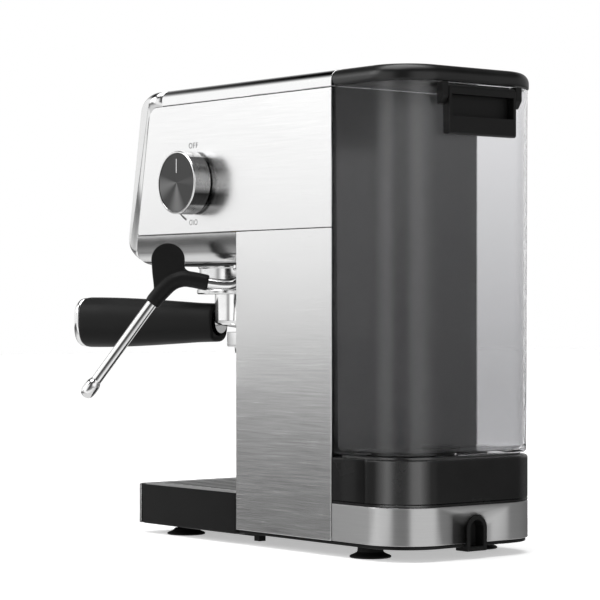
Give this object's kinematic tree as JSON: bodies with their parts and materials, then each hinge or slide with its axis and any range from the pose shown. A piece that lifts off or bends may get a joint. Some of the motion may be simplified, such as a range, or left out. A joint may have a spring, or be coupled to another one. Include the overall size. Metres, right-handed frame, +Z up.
{
  "type": "espresso machine",
  "caption": "Slim pump espresso machine with a rear water tank, side steam wand and knob, portafilter and a drip tray.",
  "frame": {"origin": "on the worktop, at the middle of the machine's overall box", "axes": "+X to the user's right, +Y to the rear, +Z up"},
  "size_m": [0.1923, 0.382, 0.308],
  "materials": {
    "brushed_steel": "brushed, fine straight grain",
    "chrome": "polished",
    "dark_steel": "spun, dark",
    "black_plastic": "satin moulded",
    "gloss_black": "gloss moulded",
    "smoked_clear": "clear smoked",
    "rubber": "matte",
    "aluminium": "cast",
    "brass": "machined",
    "silicone": "satin",
    "circuit_board": "coated board"
  },
  "bodies": {
    "casing": {"base_pan": "black_plastic", "base_rear_band": "brushed_steel", "base_rear_housing": "black_plastic", "column_front_panel": "brushed_steel", "column_side_left": "brushed_steel", "column_side_right": "brushed_steel", "control_board": "circuit_board", "control_panel": "brushed_steel", "cord_gland": "rubber", "cup_warmer_plate": "brushed_steel", "front_foot_left": "rubber", "front_foot_right": "rubber", "group_collar": "chrome", "group_gasket": "silicone", "head_front_bezel": "chrome", "head_lower_trim": "chrome", "head_side_left": "brushed_steel", "head_side_right": "brushed_steel", "head_top_trim": "chrome", "head_underside_plate": "black_plastic", "inlet_hose": "silicone", "pressure_hose": "silicone", "pump": "aluminium", "pump_bracket": "rubber", "rear_foot_left": "rubber", "rear_foot_right": "rubber", "rear_wall": "black_plastic", "shower_screen": "chrome", "shower_screw": "chrome", "steam_hose": "silicone", "steam_outlet_pipe": "brass", "steam_valve": "brass", "support_stub": "black_plastic", "tank_seat": "black_plastic", "thermoblock": "aluminium", "wand_swivel_nut": "chrome"},
    "steam_knob": {"steam_knob_body": "chrome", "steam_knob_cap": "dark_steel", "valve_stem": "brass"},
    "basket": {"filter_basket": "brushed_steel"},
    "portafilter": {"portafilter_body": "chrome", "portafilter_neck": "chrome", "portafilter_grip": "black_plastic", "grip_end_cap": "chrome", "coffee_spout": "chrome"},
    "steam_wand": {"wand_pipe": "chrome", "wand_sleeve": "black_plastic", "wand_tip": "chrome"},
    "drip_drawer": {"drip_tray": "black_plastic", "tray_front_fascia": "brushed_steel"},
    "drip_grate": {"drip_grid": "brushed_steel"},
    "tank": {"water_tank": "smoked_clear", "tank_valve": "rubber", "handle_ear_right": "black_plastic", "handle_ear_left": "black_plastic"},
    "tank_cover": {"tank_lid": "gloss_black"},
    "tank_bail": {"tank_handle": "black_plastic"},
    "power_key": {"power_button": "gloss_black"},
    "brew_key": {"brew_button": "gloss_black"},
    "steam_key": {"steam_button": "gloss_black"}
  },
  "joints": [
    {"name": "steam_knob_turn", "type": "hinge", "parent": "casing", "child": "steam_knob", "pos_m": [0.0298, -0.0275, 0.2421], "axis": [1, 0, 0], "range_deg": [0, 180]},
    {"name": "portafilter_drop", "type": "slide", "parent": "casing", "child": "basket", "axis": [0, 0, -1], "range_m": [0, 0.04]},
    {"name": "portafilter_turn", "type": "hinge", "parent": "basket", "child": "portafilter", "pos_m": [-0.0332, -0.0446, 0.17], "axis": [0, 0, 1], "range_deg": [-60, 0]},
    {"name": "wand_swing", "type": "hinge", "parent": "casing", "child": "steam_wand", "pos_m": [0.0077, 0.0014, 0.186], "axis": [0, 0, 1], "range_deg": [-8, 50]},
    {"name": "drip_drawer_slide", "type": "slide", "parent": "casing", "child": "drip_drawer", "axis": [0, -1, 0], "range_m": [0, 0.15]},
    {"name": "drip_grate_lift", "type": "slide", "parent": "drip_drawer", "child": "drip_grate", "axis": [0, 0, 1], "range_m": [0, 0.05]},
    {"name": "tank_lift", "type": "slide", "parent": "casing", "child": "tank", "axis": [0, 0, 1], "range_m": [0, 0.26]},
    {"name": "tank_lid_swing", "type": "hinge", "parent": "tank", "child": "tank_cover", "pos_m": [-0.0332, 0.1243, 0.3026], "axis": [1, 0, 0], "range_deg": [0, 85]},
    {"name": "tank_bail_swing", "type": "hinge", "parent": "tank", "child": "tank_bail", "pos_m": [-0.0332, 0.188, 0.2925], "axis": [1, 0, 0], "range_deg": [0, 120]},
    {"name": "power_press", "type": "slide", "parent": "casing", "child": "power_key", "axis": [0, 0.9857, -0.1684], "range_m": [0, 0.0018], "stiffness_N_per_m": 400, "springref_m": -0.001},
    {"name": "brew_press", "type": "slide", "parent": "casing", "child": "brew_key", "axis": [0, 0.9857, -0.1684], "range_m": [0, 0.0018], "stiffness_N_per_m": 400, "springref_m": -0.001},
    {"name": "steam_press", "type": "slide", "parent": "casing", "child": "steam_key", "axis": [0, 0.9857, -0.1684], "range_m": [0, 0.0018], "stiffness_N_per_m": 400, "springref_m": -0.001}
  ]
}
